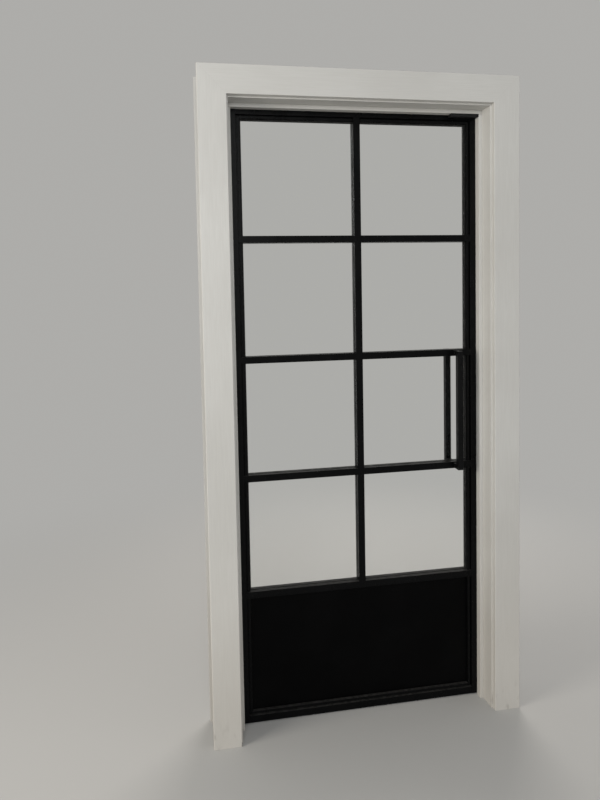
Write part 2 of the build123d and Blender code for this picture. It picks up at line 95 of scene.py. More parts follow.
class Graph:
    """The node tree of a material or a sky, with short ways to add and join its nodes."""

    def __init__(
        self,
        owner: bpy.types.Material | bpy.types.World,
        output: str = "ShaderNodeOutputMaterial",
    ) -> None:
        """Start a tree with nothing but its output.

        Args:
            owner: The material or world that the tree belongs to.
            output: Blender's name of its output node's type.
        """
        owner.use_nodes = True
        self.owner = owner
        self.tree = owner.node_tree
        self.tree.nodes.clear()
        self.output = self.tree.nodes.new(output)

    def add(self, kind: str, sockets: dict[str | int, object], **settings: object) -> bpy.types.Node:
        """Add a node and fill its inputs.

        Args:
            kind: Blender's name of the node type.
            sockets: Input name or number, with a value or the output socket that feeds it.
            **settings: Attributes of the node itself.

        Returns:
            The new node.
        """
        node = self.tree.nodes.new(kind)
        for key, value in settings.items():
            setattr(node, key, value)
        for key, value in sockets.items():
            if isinstance(value, Socket):
                self.tree.links.new(value, node.inputs[key])
            else:
                node.inputs[key].default_value = value
        return node

    def maths(self, operation: str, first: object, second: object = 0.0) -> Socket:
        """Work out one number from one or two others.

        Args:
            operation: The Math node's operation.
            first: A number or socket.
            second: A number or socket.

        Returns:
            The result's socket.
        """
        return self.add("ShaderNodeMath", {0: first, 1: second}, operation=operation).outputs[0]

    def place(self) -> Socket:
        """Give the place on the piece, in metres, as a socket."""
        return self.add("ShaderNodeTexCoord", {}).outputs["Object"]

    def stretched(self, x: float = 1.0, y: float = 1.0, z: float = 1.0) -> Socket:
        """Give the place on the piece with each axis scaled, below 1 where a pattern runs long.

        Args:
            x: Factor along X.
            y: Factor along Y.
            z: Factor along Z.

        Returns:
            The scaled place's socket.
        """
        return self.add("ShaderNodeMapping", {"Vector": self.place(), "Scale": (x, y, z)}).outputs[0]

    def noise(self, place: Socket, scale: float, detail: float = 2.0) -> Socket:
        """Add soft random variation.

        Args:
            place: The socket that says where on the piece.
            scale: Features per metre.
            detail: How many finer layers lie on it.

        Returns:
            The variation's socket, around 0.5.
        """
        return self.add("ShaderNodeTexNoise", {"Vector": place, "Scale": scale, "Detail": detail}).outputs[0]

    def graded(self, value: Socket, band: Span, results: Span = (0.0, 1.0)) -> Socket:
        """Turn one stretch of a value smoothly into another.

        Args:
            value: The socket to read.
            band: The values where the grading starts and ends.
            results: The result at the band's start and before it, and at its end and beyond it.

        Returns:
            The graded socket.
        """
        sockets = {
            "Value": value,
            "From Min": band[0],
            "From Max": band[1],
            "To Min": results[0],
            "To Max": results[1],
        }
        return self.add("ShaderNodeMapRange", sockets, interpolation_type="SMOOTHSTEP").outputs["Result"]

    def blend(self, share: object, first: object, second: object) -> Socket:
        """Mix two colours.

        Args:
            share: How much of the second colour, as a number or socket.
            first: A colour or socket.
            second: A colour or socket.

        Returns:
            The mixed colour's socket.
        """
        values = {
            0: share,
            6: first if isinstance(first, Socket) else (*first, 1.0),
            7: second if isinstance(second, Socket) else (*second, 1.0),
        }
        return self.add("ShaderNodeMix", values, data_type="RGBA").outputs[2]

    def axis(self, name: str) -> Socket:
        """Give one coordinate of the place on the piece.

        Args:
            name: X, Y or Z.

        Returns:
            The coordinate's socket, in metres.
        """
        return self.add("ShaderNodeSeparateXYZ", {0: self.place()}).outputs[name]

    def upward(self) -> Socket:
        """Give how far the surface faces up, from -1 to 1, as a socket."""
        normal = self.add("ShaderNodeNewGeometry", {}).outputs["Normal"]
        return self.add("ShaderNodeSeparateXYZ", {0: normal}).outputs["Z"]

    def relief(self, height: Socket, depth: float, strength: float) -> Socket:
        """Tilt the surface's normal by a fine relief.

        Args:
            height: The relief's height, mostly from 0 to 1.
            depth: What a height of 1 stands for, in metres.
            strength: How much of it shows.

        Returns:
            The tilted normal's socket.
        """
        node = self.add("ShaderNodeBump", {"Strength": strength, "Distance": depth, "Height": height})
        return node.outputs["Normal"]

    def both(self, first: Socket, second: Socket, share: float) -> Socket:
        """Lay a second relief over a first.

        Args:
            first: Height of the first.
            second: Height of the second.
            share: How much of the sum the first makes up.

        Returns:
            The height of both together, from 0 to 1.
        """
        under = self.maths("MULTIPLY", first, share)
        over = self.maths("MULTIPLY", second, 1.0 - share)
        return self.maths("ADD", under, over)

    def seen(self) -> Socket:
        """Give 1 on a ray that sees the surface, straight, mirrored or through glass, and else 0."""
        path = self.add("ShaderNodeLightPath", {})
        shown = path.outputs["Is Camera Ray"]
        for ray in ("Is Glossy Ray", "Is Transmission Ray"):
            shown = self.maths("MAXIMUM", shown, path.outputs[ray])
        return shown

    def principled(self, sockets: dict[str | int, object]) -> Socket:
        """Add a Principled shader with these inputs and give its result's socket."""
        return self.add("ShaderNodeBsdfPrincipled", sockets).outputs[0]

    def show(self, shader: Socket) -> None:
        """Join the shader that the surface or the sky shows to the output."""
        self.tree.links.new(shader, self.output.inputs["Surface"])

    def show_mixed(self, share: Socket, first: Socket, second: Socket) -> None:
        """Mix two shaders and join them to the output.

        Args:
            share: How much of the second shader.
            first: The shader that shows where the share is 0.
            second: The shader that shows where it is 1.
        """
        self.show(self.add("ShaderNodeMixShader", {0: share, 1: first, 2: second}).outputs[0])


@dataclass(frozen=True)
class SatinPaint:
    """White satin paint, brushed and rolled on timber boards.

    The strokes, stipple, cloud and scuffs are patterns, in features per metre. A mitre runs where
    the height is the mitre's rise plus the distance from the door's middle.
    """

    name: str
    grain: Grain
    mitre_rise: float | None = None
    colour: Colour = (0.585, 0.58, 0.56)
    shaded: Colour = (0.545, 0.538, 0.517)
    # Dust and painted shade: the colour the paint darkens and warms to towards the floor
    dust_and_light: Colour = (0.48, 0.435, 0.375)
    scuffed: Colour = (0.34, 0.32, 0.29)
    joint_colour: Colour = (0.32, 0.31, 0.30)
    joint_half_width: float = 0.5 * MILLIMETRE
    joint_share: float = 0.4
    # How high above the floor, and how strongly, the dust and painted shade darken the paint
    dust_and_shade_height: float = 0.85
    dust_and_shade_share: float = 0.35
    strokes: float = 420.0
    stroke_run: float = 0.035
    stroke_shade: float = 0.10
    stroke_depth_share: float = 0.65
    stipple: float = 950.0
    cloud: float = 2.6
    scuffs: float = 60.0
    scuff_run: float = 0.35
    scuff_band: Span = (0.54, 0.74)
    scuff_share: float = 0.6
    scuff_height: float = 0.13
    roughness: Span = (0.46, 0.36)
    relief_depth: float = 0.12 * MILLIMETRE
    relief_strength: float = 0.35

    def build(self) -> bpy.types.Material:
        """Make the material with strokes, stipple, dust with painted shade towards the floor, scuffs and the
        mitres' hairline joints.

        Returns:
            The finished material.
        """
        graph = Graph(bpy.data.materials.new(self.name))
        upright = self.grain is Grain.UPRIGHT
        along = graph.stretched(z=self.stroke_run) if upright else graph.stretched(x=self.stroke_run)
        strokes = graph.noise(along, self.strokes, detail=3.0)
        stipple = graph.noise(graph.place(), self.stipple)
        cloud = graph.noise(graph.place(), self.cloud)
        colour = graph.blend(graph.graded(cloud, SOFT_BAND), self.shaded, self.colour)
        shade = graph.graded(strokes, WIDE_BAND, (self.stroke_shade, 0.0))
        colour = graph.blend(shade, colour, self.scuffed)

        height = graph.axis("Z")
        # Dust and painted shade: the paint is darker and warmer towards the floor
        dust_and_light_share = graph.graded(height, (0.0, self.dust_and_shade_height), (self.dust_and_shade_share, 0.0))
        colour = graph.blend(dust_and_light_share, colour, self.dust_and_light)
        scuffs = graph.noise(graph.stretched(z=self.scuff_run), self.scuffs, detail=5.0)
        marks = graph.graded(scuffs, self.scuff_band, (0.0, self.scuff_share))
        low = graph.graded(height, (0.0, self.scuff_height), (1.0, 0.0))
        colour = graph.blend(graph.maths("MULTIPLY", low, marks), colour, self.scuffed)

        coat = graph.both(strokes, stipple, self.stroke_depth_share)
        if self.mitre_rise is not None:
            across = graph.maths("SUBTRACT", height, graph.maths("ABSOLUTE", graph.axis("X")))
            away = graph.maths("ABSOLUTE", graph.maths("SUBTRACT", across, self.mitre_rise))
            joint = graph.graded(away, (0.0, self.joint_half_width), (1.0, 0.0))
            hairline = graph.maths("MULTIPLY", joint, self.joint_share)
            colour = graph.blend(hairline, colour, self.joint_colour)
            coat = graph.maths("SUBTRACT", coat, joint)

        graph.show(graph.principled({
            "Base Color": colour,
            "Roughness": graph.graded(strokes, WIDE_BAND, self.roughness),
            "Normal": graph.relief(coat, self.relief_depth, self.relief_strength),
        }))
        return graph.owner


@dataclass(frozen=True)
class PowderCoat:
    """Satin powder coat on steel: a fine pebble, with handling, settled dust and a painted sheen on faces
    that look up.

    The pebble, waves, cloud, smears and dust grains are patterns, in features per metre. The dust, with a
    painted sheen of light from above, begins and is full where the surface faces up by the two values of its
    slope.
    """

    name: str
    colour: Colour
    roughness: float
    shine: float
    lighter: float = 1.4
    # Settled dust with a painted sheen of light from above: lighter on faces that look up
    dust_and_light_share: float = 0.36
    dust_and_sheen_colour: Colour = (0.10, 0.096, 0.092)
    dust_and_sheen_slope: Span = (0.6, 0.95)
    dust_and_sheen_grains: float = 90.0
    dust_and_sheen_thickness: Span = (0.4, 1.0)
    dust_roughness: float = 0.25
    pebble: float = 1500.0
    pebble_depth_share: float = 0.7
    waves: float = 160.0
    cloud: float = 5.0
    smears: float = 24.0
    smear_run: float = 0.45
    smear_band: Span = (0.38, 0.66)
    smear_gloss: float = 0.05
    smear_haze: float = 0.07
    relief_depth: float = 0.05 * MILLIMETRE
    relief_strength: float = 0.3

    def build(self) -> bpy.types.Material:
        """Make the material.

        Returns:
            The finished material.
        """
        graph = Graph(bpy.data.materials.new(self.name))
        pebble = graph.noise(graph.place(), self.pebble, detail=1.0)
        waves = graph.noise(graph.place(), self.waves)
        cloud = graph.noise(graph.place(), self.cloud, detail=3.0)
        lighter = tuple(channel * self.lighter for channel in self.colour)
        colour = graph.blend(graph.graded(cloud, SOFT_BAND), self.colour, lighter)

        # Faces that look up turn lighter: settled dust and a painted sheen of light from above
        lying = graph.graded(graph.upward(), self.dust_and_sheen_slope, (0.0, self.dust_and_light_share))
        grains = graph.noise(graph.place(), self.dust_and_sheen_grains, detail=4.0)
        dust_and_light = graph.maths("MULTIPLY", lying, graph.graded(grains, WIDE_BAND, self.dust_and_sheen_thickness))
        colour = graph.blend(dust_and_light, colour, self.dust_and_sheen_colour)

        smears = graph.noise(graph.stretched(z=self.smear_run), self.smears, detail=4.0)
        extremes = (self.roughness - self.smear_gloss, self.roughness + self.smear_haze)
        handled = graph.graded(smears, self.smear_band, extremes)
        coat = graph.both(pebble, waves, self.pebble_depth_share)
        graph.show(graph.principled({
            "Base Color": colour,
            "Roughness": graph.maths("ADD", handled, graph.maths("MULTIPLY", dust_and_light, self.dust_roughness)),
            "Normal": graph.relief(coat, self.relief_depth, self.relief_strength),
            "Specular IOR Level": self.shine,
        }))
        return graph.owner


@dataclass(frozen=True)
class PlainSteel:
    """Bare steel with fine turning marks. The marks and the cloud are in features per metre."""

    name: str = "bright_steel"
    colour: Colour = (0.50, 0.49, 0.475)
    tarnished: Colour = (0.34, 0.325, 0.31)
    marks: float = 5200.0
    mark_run: float = 0.3
    cloud: float = 320.0
    roughness: Span = (0.24, 0.42)
    relief_depth: float = 0.02 * MILLIMETRE
    relief_strength: float = 0.4

    def build(self) -> bpy.types.Material:
        """Make the material.

        Returns:
            The finished material.
        """
        graph = Graph(bpy.data.materials.new(self.name))
        marks = graph.noise(graph.stretched(x=self.mark_run, y=self.mark_run), self.marks, detail=3.0)
        cloud = graph.noise(graph.place(), self.cloud, detail=3.0)
        graph.show(graph.principled({
            "Base Color": graph.blend(graph.graded(cloud, SOFT_BAND), self.tarnished, self.colour),
            "Metallic": 1.0,
            "Roughness": graph.graded(marks, WIDE_BAND, self.roughness),
            "Normal": graph.relief(marks, self.relief_depth, self.relief_strength),
        }))
        return graph.owner


@dataclass(frozen=True)
class Rubber:
    """Matt black extruded rubber, faintly grained and dusty. Its patterns are in features per metre."""

    name: str = "gasket_rubber"
    colour: Colour = (0.010, 0.010, 0.010)
    bloom_colour: Colour = (0.030, 0.029, 0.028)
    bloom: float = 60.0
    bloom_band: Span = (0.4, 0.7)
    skin: float = 2400.0
    roughness: Span = (0.62, 0.80)
    relief_depth: float = 0.04 * MILLIMETRE
    relief_strength: float = 0.4
    shine: float = 0.3

    def build(self) -> bpy.types.Material:
        """Make the material.

        Returns:
            The finished material.
        """
        graph = Graph(bpy.data.materials.new(self.name))
        bloom = graph.noise(graph.place(), self.bloom, detail=4.0)
        skin = graph.noise(graph.place(), self.skin)
        graph.show(graph.principled({
            "Base Color": graph.blend(graph.graded(bloom, self.bloom_band), self.colour, self.bloom_colour),
            "Roughness": graph.graded(bloom, WIDE_BAND, self.roughness),
            "Normal": graph.relief(skin, self.relief_depth, self.relief_strength),
            "Specular IOR Level": self.shine,
        }))
        return graph.owner


@dataclass(frozen=True)
class MouldedPlastic:
    """Moulded plastic with a fine spark-eroded grain. Its patterns are in features per metre."""

    name: str
    colour: Colour
    lighter: float = 1.3
    grain: float = 3200.0
    flow: float = 70.0
    flow_run: float = 0.3
    roughness: Span = (0.46, 0.56)
    relief_depth: float = 0.03 * MILLIMETRE
    relief_strength: float = 0.5
    shine: float = 0.25

    def build(self) -> bpy.types.Material:
        """Make the material.

        Returns:
            The finished material.
        """
        graph = Graph(bpy.data.materials.new(self.name))
        grain = graph.noise(graph.place(), self.grain)
        flow = graph.noise(graph.stretched(x=self.flow_run), self.flow, detail=3.0)
        lighter = tuple(channel * self.lighter for channel in self.colour)
        graph.show(graph.principled({
            "Base Color": graph.blend(graph.graded(flow, WIDE_BAND), self.colour, lighter),
            "Roughness": graph.graded(flow, WIDE_BAND, self.roughness),
            "Normal": graph.relief(grain, self.relief_depth, self.relief_strength),
            "Specular IOR Level": self.shine,
        }))
        return graph.owner


@dataclass(frozen=True)
class ClearGlass:
    """Clear toughened glass, faintly green; lamps shine through it. Wipe marks are per metre."""

    name: str = "clear_glass"
    colour: Colour = (0.985, 0.995, 0.99)
    refraction: float = 1.5
    wipes: float = 9.0
    wipe_run: float = 0.25
    wipe_band: Span = (0.45, 0.8)
    wipe_haze: float = 0.012

    def build(self) -> bpy.types.Material:
        """Make the material.

        Returns:
            The finished material.
        """
        graph = Graph(bpy.data.materials.new(self.name))
        wipes = graph.noise(graph.stretched(z=self.wipe_run), self.wipes, detail=4.0)
        glass = graph.principled({
            "Base Color": (*self.colour, 1.0),
            "Roughness": graph.graded(wipes, self.wipe_band, (0.0, self.wipe_haze)),
            "IOR": self.refraction,
            "Transmission Weight": 1.0,
        })
        lamp_ray = graph.add("ShaderNodeLightPath", {}).outputs["Is Shadow Ray"]
        open_way = graph.add("ShaderNodeBsdfTransparent", {"Color": (*self.colour, 1.0)})
        graph.show_mixed(lamp_ray, glass, open_way.outputs[0])
        return graph.owner


def finished_piece(
    name: str,
    shape: bmesh.types.BMesh,
    material: bpy.types.Material,
    body: Body,
) -> bpy.types.Object:
    """Turn a finished shape into a piece that rides on a body.

    Args:
        name: The piece's name.
        shape: The shape in metres, where it belongs. It is freed here.
        material: The finish it wears.
        body: The body that carries it.

    Returns:
        The new object.
    """
    bmesh.ops.recalc_face_normals(shape, faces=shape.faces[:])
    mesh = bpy.data.meshes.new(name)
    shape.to_mesh(mesh)
    shape.free()
    mesh.materials.append(material)
    piece = bpy.data.objects.new(name, mesh)
    bpy.context.scene.collection.objects.link(piece)
    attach(piece, body.value)
    return piece


def dress(nodes: list[str], material: bpy.types.Material) -> None:
    """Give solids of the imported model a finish.

    Args:
        nodes: Names of the nodes.
        material: The finish they wear.
    """
    for node in nodes:
        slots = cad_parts[node].data.materials
        slots.clear()
        slots.append(material)


def ease(nodes: list[str], width: float, segments: int = 3) -> None:
    """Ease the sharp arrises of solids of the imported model.

    Args:
        nodes: Names of the nodes.
        width: How far each arris is eased, in metres.
        segments: How many faces make the rounding.
    """
    for node in nodes:
        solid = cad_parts[node]
        join = solid.modifiers.new("joined corners", "WELD")
        join.merge_threshold = SOLID_MERGE
        rounding = solid.modifiers.new("eased arrises", "BEVEL")
        rounding.width = width
        rounding.segments = segments
        rounding.limit_method = "ANGLE"
        rounding.angle_limit = SHARP_ANGLE
        rounding.harden_normals = True


def middle_of(node: str) -> Vector:
    """Give the middle of a node's box.

    Args:
        node: The node's name.

    Returns:
        The middle, in metres.
    """
    low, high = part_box(node)
    return (low + high) / 2


def facing(place: Vector, outward: Vector) -> Matrix:
    """Give the transform that puts a shape made at the origin, facing +Z, on a surface.

    Args:
        place: Where the shape's origin goes.
        outward: The direction its +Z turns to.

    Returns:
        The transform.
    """
    return Matrix.Translation(place) @ outward.to_track_quat("Z", "Y").to_matrix().to_4x4()


def edges_between(corners: list[bmesh.types.BMVert]) -> list[bmesh.types.BMEdge]:
    """Give the edges that join the given corners to each other.

    Args:
        corners: The corners.

    Returns:
        The edges, in the order in which they were met.
    """
    members = set(corners)
    found: dict[bmesh.types.BMEdge, None] = {}
    for corner in corners:
        for edge in corner.link_edges:
            if edge.other_vert(corner) in members:
                found[edge] = None
    return list(found)


def round_edges(shape: bmesh.types.BMesh, edges: list[bmesh.types.BMEdge], width: float) -> None:
    """Round edges of a shape.

    Args:
        shape: The shape that the edges are part of.
        edges: The edges.
        width: How far each edge is rounded, in metres.
    """
    bmesh.ops.bevel(
        shape,
        geom=edges,
        offset=width,
        segments=2,
        profile=0.5,
        affect="EDGES",
        material=-1,
    )


def drilled_copy(node: str, cutters: bmesh.types.BMesh, arris: float) -> bmesh.types.BMesh:
    """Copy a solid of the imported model, cut holes in the copy and ease its edges.

    Args:
        node: The node to copy.
        cutters: Closed shapes to cut away. They are freed here.
        arris: How far the sharp edges are eased, in metres.

    Returns:
        The drilled copy as a shape.
    """
    blank = bmesh.new()
    blank.from_mesh(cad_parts[node].data)
    bmesh.ops.remove_doubles(blank, verts=blank.verts[:], dist=COPY_MERGE)
    bmesh.ops.dissolve_limit(blank, angle_limit=FLAT_ANGLE, verts=blank.verts[:], edges=blank.edges[:])
    bmesh.ops.recalc_face_normals(cutters, faces=cutters.faces[:])
    helpers = []
    for name, shape in (("blank", blank), ("cutters", cutters)):
        mesh = bpy.data.meshes.new(name)
        shape.to_mesh(mesh)
        shape.free()
        helper = bpy.data.objects.new(name, mesh)
        bpy.context.scene.collection.objects.link(helper)
        helpers.append(helper)
    body, tools = helpers

    holes = body.modifiers.new("holes", "BOOLEAN")
    holes.operation = "DIFFERENCE"
    holes.solver = "EXACT"
    holes.object = tools
    rounding = body.modifiers.new("eased arrises", "BEVEL")
    rounding.width = arris
    rounding.segments = 2
    rounding.limit_method = "ANGLE"
    rounding.angle_limit = DRILLED_SHARP_ANGLE
    drilled = bpy.data.meshes.new_from_object(body.evaluated_get(bpy.context.evaluated_depsgraph_get()))
    result = bmesh.new()
    result.from_mesh(drilled)
    used = [drilled, *(helper.data for helper in helpers)]
    for helper in helpers:
        bpy.data.objects.remove(helper)
    for mesh in used:
        bpy.data.meshes.remove(mesh)
    return result


@dataclass(frozen=True)
class SocketScrew:
    """A screw with a hexagon socket: countersunk, or straight-sided as a set screw is."""

    head_radius: float
    foot_radius: float
    head_depth: float
    socket_radius: float
    socket_depth: float
    socket_sides: int = 6
    rim_round: float = 0.18 * MILLIMETRE
    sides: int = 32

    def add_to(self, shape: bmesh.types.BMesh, place: Vector, outward: Vector) -> None:
        """Add one screw to a shape, its top flush with a surface.

        Args:
            shape: The shape that gets the screw.
            place: The middle of the screw's top.
            outward: The direction the top faces.
        """
        where = facing(place, outward)
        rings = []
        for sides, radius in ((self.sides, self.head_radius), (self.socket_sides, self.socket_radius)):
            ring = bmesh.ops.create_circle(shape, segments=sides, radius=radius, matrix=where)
            rings.append(edges_between(ring["verts"]))
        rim_edges, socket_edges = rings
        bmesh.ops.bridge_loops(shape, edges=rim_edges + socket_edges)
        self.close_down(shape, socket_edges, -outward * self.socket_depth)
        foot = self.close_down(shape, rim_edges, -outward * self.head_depth)
        centre = place - outward * self.head_depth
        shrink = Vector.Fill(3, self.foot_radius / self.head_radius)
        bmesh.ops.scale(shape, verts=foot, vec=shrink, space=Matrix.Translation(-centre))
        round_edges(shape, rim_edges, self.rim_round)

    def close_down(
        self,
        shape: bmesh.types.BMesh,
        edges: list[bmesh.types.BMEdge],
        step: Vector,
    ) -> list[bmesh.types.BMVert]:
        """Carry a ring of edges down by a step and close it there with a face.

        Args:
            shape: The shape that the ring is part of.
            edges: The ring's edges.
            step: How far and where to.

        Returns:
            The corners of the closing face.
        """
        walls = bmesh.ops.extrude_edge_only(shape, edges=edges)["geom"]
        corners = [part for part in walls if isinstance(part, bmesh.types.BMVert)]
        bmesh.ops.translate(shape, verts=corners, vec=step)
        bmesh.ops.contextual_create(shape, geom=edges_between(corners))
        return corners


@dataclass(frozen=True)
class TimberFrame:
    """The fixed frame: jambs and stops, with casings on both sides of the wall."""

    boards: tuple[str, ...] = ("jamb", "stop")
    casings: tuple[str, ...] = ("casing_front", "casing_rear")
    arris: float = 0.9 * MILLIMETRE

    def build(self) -> None:
        """Paint the boards along their grain, and ease the plain boards' arrises."""
        outer_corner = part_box("casing_front_head")[1]
        rise = outer_corner.z - outer_corner.x
        for grain, places in ((Grain.UPRIGHT, ("left", "right")), (Grain.LEVEL, ("head",))):
            plain = SatinPaint(f"white_paint_{grain.value}", grain).build()
            mitred = SatinPaint(f"white_paint_mitred_{grain.value}", grain, mitre_rise=rise).build()
            for place in places:
                boards = [f"{board}_{place}" for board in self.boards]
                dress(boards, plain)
                ease(boards, self.arris)
                dress([f"{casing}_{place}" for casing in self.casings], mitred)
                log.info("painted the %s boards", place)


@dataclass(frozen=True)
class SteelLeaf:
    """The swinging leaf's stiles, rails, mullion, beads, bars and kick panel."""

    sections: tuple[str, ...] = (
        "stile_left",
        "stile_right",
        "rail_top",
        "rail_bottom",
        "rail_kick",
        "rail_kick_cap",
        "mullion",
        "mullion_cap",
    )
    beads: tuple[str, ...] = (
        "bead_left",
        "bead_right",
        "bead_top_left",
        "bead_top_right",
        "panel_bead_left",
        "panel_bead_right",
        "panel_bead_bottom",
    )
    bar_sides: tuple[str, ...] = ("front", "rear")
    arris: float = 0.4 * MILLIMETRE
    coat: PowderCoat = PowderCoat("black_coat", (0.0019, 0.0020, 0.0022), roughness=0.31, shine=0.09)
    panel_coat: PowderCoat = PowderCoat(
        "black_panel",
        (0.0015, 0.0015, 0.0016),
        roughness=0.42,
        shine=0.04,
        dust_and_light_share=0.1,
    )

    def build(self) -> None:
        """Coat the steel sections and the kick panel, and ease the sections' arrises."""
        bars = [f"bars_{side}_{level}" for side in self.bar_sides for level in LEVELS]
        coated = [*self.sections, *self.beads, *bars]
        dress(coated, self.coat.build())
        ease(coated, self.arris, segments=2)
        dress(["kick_panel"], self.panel_coat.build())
        log.info("coated the leaf's %d sections and its kick panel", len(coated))


@dataclass(frozen=True)
class Glazing:
    """The two panes with their gaskets and setting blocks."""

    block_grey: Colour = (0.20, 0.20, 0.20)

    def build(self) -> None:
        """Give the panes, gaskets and blocks their finishes."""
        dress(["glass_left", "glass_right"], ClearGlass().build())
        dress(["gaskets_front", "gaskets_rear"], Rubber().build())
        dress(["setting_blocks"], MouldedPlastic("block_plastic", self.block_grey).build())
        log.info("glazed the leaf")


@dataclass(frozen=True)
class PullHandles:
    """The back-to-back pull handles, with the sockets of their set screws."""

    arris: float = 0.5 * MILLIMETRE
    coat: PowderCoat = PowderCoat("black_handle", (0.0028, 0.0029, 0.0031), roughness=0.30, shine=0.12)
    screw: SocketScrew = SocketScrew(
        head_radius=2.45 * MILLIMETRE,
        foot_radius=2.45 * MILLIMETRE,
        head_depth=5.6 * MILLIMETRE,
        socket_radius=1.3 * MILLIMETRE,
        socket_depth=2.0 * MILLIMETRE,
    )

    def build(self, steel: bpy.types.Material) -> None:
        """Coat the grips and arms, and build the set screws with their sockets.

        Args:
            steel: The finish of the bolts and set screws.
        """
        arms = ["handle_arms_front", "handle_arms_rear"]
        dress(["handle_grip_front", "handle_grip_rear", *arms], self.coat.build())
        ease(arms, self.arris, segments=2)
        dress(["handle_bolts"], steel)

        low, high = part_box("handle_set_screws")
        radius = self.screw.head_radius
        shape = bmesh.new()
        for depth in (low.y + radius, high.y - radius):
            for level in (low.z + radius, high.z - radius):
                self.screw.add_to(shape, Vector((low.x, depth, level)), Vector((-1.0, 0.0, 0.0)))
        piece = finished_piece("set_screws", shape, steel, Body.LEAF)
        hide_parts("handle_set_screws")
        log.info("built the pull handles")


@dataclass(frozen=True)
class HingePlate:
    """One half of a butt hinge: its node, its body and the way that its open face looks along X."""

    node: str
    body: Body
    outward: float


@dataclass(frozen=True)
class ButtHinge:
    """One butt hinge: two countersunk plates with knuckles, a domed pin and eight screws.

    The dome's outline goes from its top to its foot, in shares of the pin's radius and the dome's height.
    """

    level: str
    screw: SocketScrew = SocketScrew(
        head_radius=3.9 * MILLIMETRE,
        foot_radius=2.0 * MILLIMETRE,
        head_depth=1.9 * MILLIMETRE,
        socket_radius=1.5 * MILLIMETRE,
        socket_depth=1.4 * MILLIMETRE,
    )
    screw_clearance: float = 0.2 * MILLIMETRE
    screw_sink: float = 0.05 * MILLIMETRE
    plate: float = 2.0 * MILLIMETRE
    plate_width: float = 32.0 * MILLIMETRE
    overcut: float = 0.2 * MILLIMETRE
    rows: tuple[float, ...] = (-36.0 * MILLIMETRE, -13.0 * MILLIMETRE, 13.0 * MILLIMETRE, 36.0 * MILLIMETRE)
    stagger: float = 6.0 * MILLIMETRE
    arris: float = 0.3 * MILLIMETRE
    dome: float = 1.2 * MILLIMETRE
    dome_outline: tuple[Span, ...] = ((0.0, 0.0), (0.55, 0.12), (0.88, 0.5), (1.0, 1.0))
    pin_sides: int = 40

    def build(self, coat: bpy.types.Material, steel: bpy.types.Material) -> None:
        """Build the plates with real countersinks, the screws in them and the domed pin.

        Args:
            coat: The finish of the plates and screws.
            steel: The finish of the pin.
        """
        self.build_half(HingePlate(f"hinge_frame_leaf_{self.level}", Body.FRAME, 1.0), coat)
        self.build_half(HingePlate(f"hinge_door_leaf_{self.level}", Body.LEAF, -1.0), coat)
        self.build_pin(steel)
        log.info("built the %s hinge", self.level)

    def screw_places(self, half: HingePlate) -> list[Vector]:
        """Give the middles of the screw heads on one plate.

        Args:
            half: The plate.

        Returns:
            The places, on the plate's open face.
        """
        low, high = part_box(half.node)
        face = low.x + self.plate if half.outward > 0 else high.x - self.plate
        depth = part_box("stile_left")[1].y - self.plate_width / 2
        level = middle_of(f"hinge_frame_leaf_{self.level}").z
        shifts = (-self.stagger, self.stagger)
        return [Vector((face, depth + shifts[turn % 2], level + row)) for turn, row in enumerate(self.rows)]

    def build_half(self, half: HingePlate, coat: bpy.types.Material) -> None:
        """Build one countersunk plate and its screws.

        Args:
            half: The plate.
            coat: The finish.
        """
        outward = Vector((half.outward, 0.0, 0.0))
        places = self.screw_places(half)
        slope = (self.screw.head_radius - self.screw.foot_radius) / self.screw.head_depth
        wide = self.screw.head_radius + self.screw_clearance
        cutters = bmesh.new()
        for place in places:
            bmesh.ops.create_cone(
                cutters,
                cap_ends=True,
                segments=self.screw.sides,
                radius1=wide - slope * (self.plate + self.overcut),
                radius2=wide + slope * self.overcut,
                depth=self.plate + 2 * self.overcut,
                matrix=facing(place - outward * self.plate / 2, outward),
            )
        plate = drilled_copy(half.node, cutters, self.arris)
        piece = finished_piece(f"{half.node}_drilled", plate, coat, half.body)
        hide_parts(half.node)

        screws = bmesh.new()
        for place in places:
            self.screw.add_to(screws, place - outward * self.screw_sink, outward)
        finished_piece(f"{half.node}_screws", screws, coat, half.body)

    def build_pin(self, steel: bpy.types.Material) -> None:
        """Build the pin with domed ends by turning its outline.

        Args:
            steel: The finish of the pin.
        """
        node = f"hinge_pin_{self.level}"
        low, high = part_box(node)
        middle = middle_of(node)
        radius = (high.x - low.x) / 2
        dome = [(radius * across, self.dome * down) for across, down in self.dome_outline]
        outline = [(across, low.z + down) for across, down in dome]
        outline += [(across, high.z - down) for across, down in reversed(dome)]
        shape = bmesh.new()
        corners = [shape.verts.new((middle.x + across, middle.y, level)) for across, level in outline]
        edges = [shape.edges.new(pair) for pair in zip(corners[:-1], corners[1:])]
        bmesh.ops.spin(
            shape,
            geom=corners + edges,
            cent=(middle.x, middle.y, 0.0),
            axis=(0.0, 0.0, 1.0),
            angle=radians(360.0),
            steps=self.pin_sides,
            use_merge=True,
        )
        bmesh.ops.remove_doubles(shape, verts=shape.verts[:], dist=PIN_MERGE)
        piece = finished_piece(f"{node}_domed", shape, steel, Body.FRAME)
        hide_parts(node)


